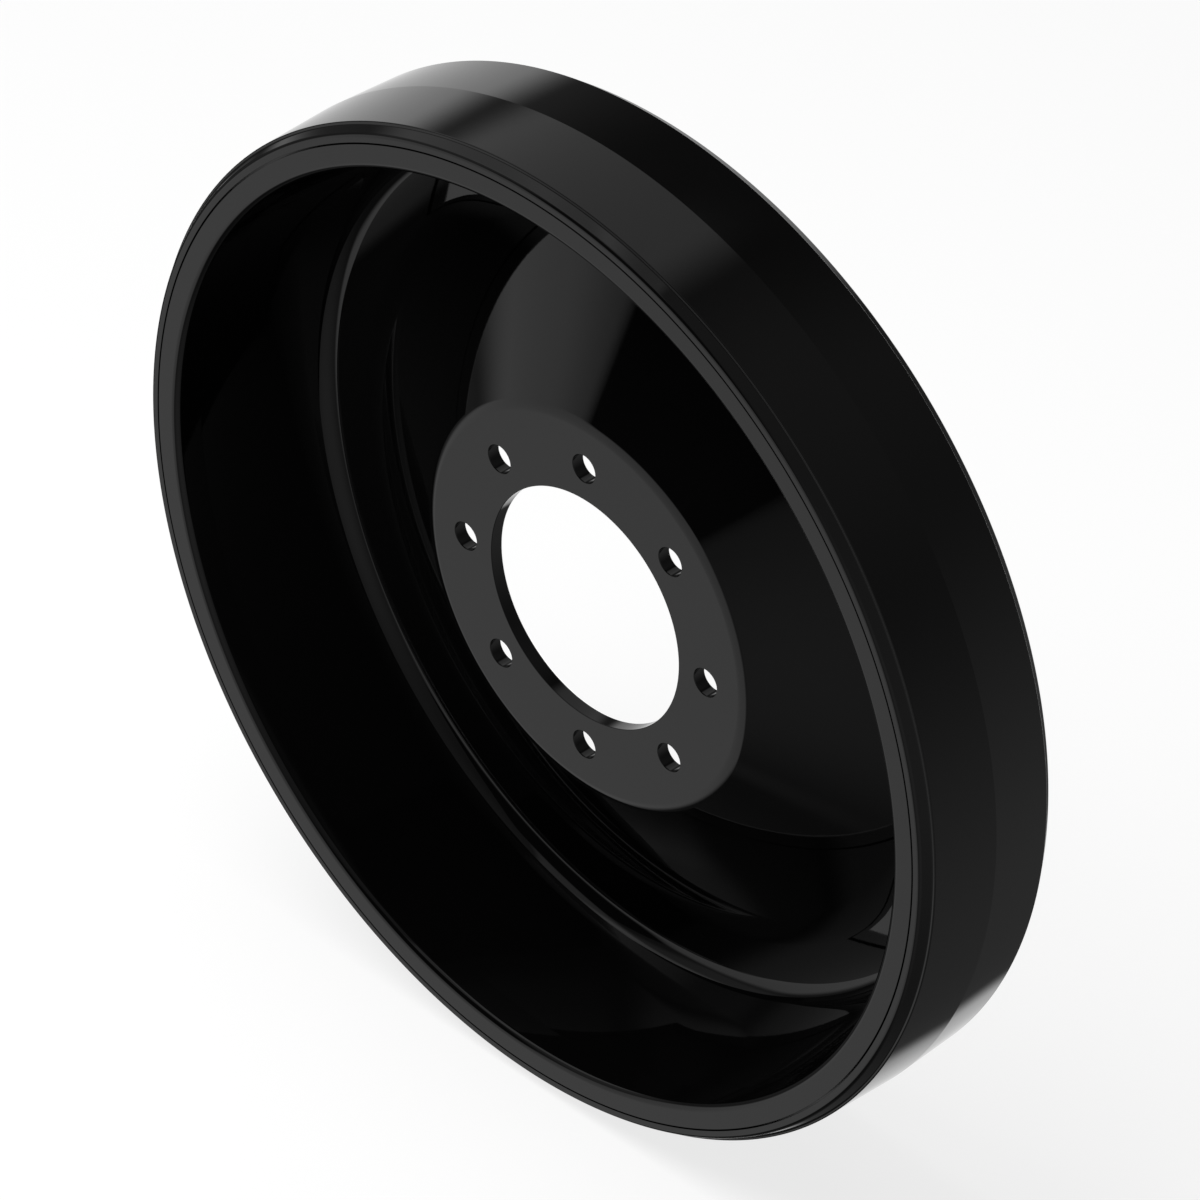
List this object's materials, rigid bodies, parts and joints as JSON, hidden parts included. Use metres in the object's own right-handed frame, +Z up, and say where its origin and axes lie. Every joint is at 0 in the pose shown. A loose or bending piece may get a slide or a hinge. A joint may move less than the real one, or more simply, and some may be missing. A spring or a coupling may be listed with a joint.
{
  "type": "track idler wheel",
  "caption": "Large dished steel idler wheel with an open centre bore, a bolt flange, a hollow welded rim and a smooth bonded rubber tyre.",
  "frame": {"origin": "on the wheel's axis, in the rear face of the hub flange, where the hub seats", "axes": "+Y along the wheel's axis towards the rear, so the open front looks along -Y; +Z up, through one bolt hole; +X to the right seen from the front"},
  "size_m": [0.8986, 0.1708, 0.8986],
  "materials": {
    "black_paint": "gloss black enamel on steel",
    "tyre_rubber": "smooth moulded black rubber with a satin shine"
  },
  "bodies": {
    "root": {"wheel_disc": "black_paint", "inner_barrel": "black_paint", "front_edge_ring": "black_paint", "rim_band": "black_paint", "rear_closing_ring": "black_paint", "tread_tyre": "tyre_rubber", "disc_front_weld": "black_paint", "disc_rear_weld": "black_paint", "closing_outer_weld": "black_paint", "closing_inner_weld": "black_paint"}
  },
  "joints": []
}
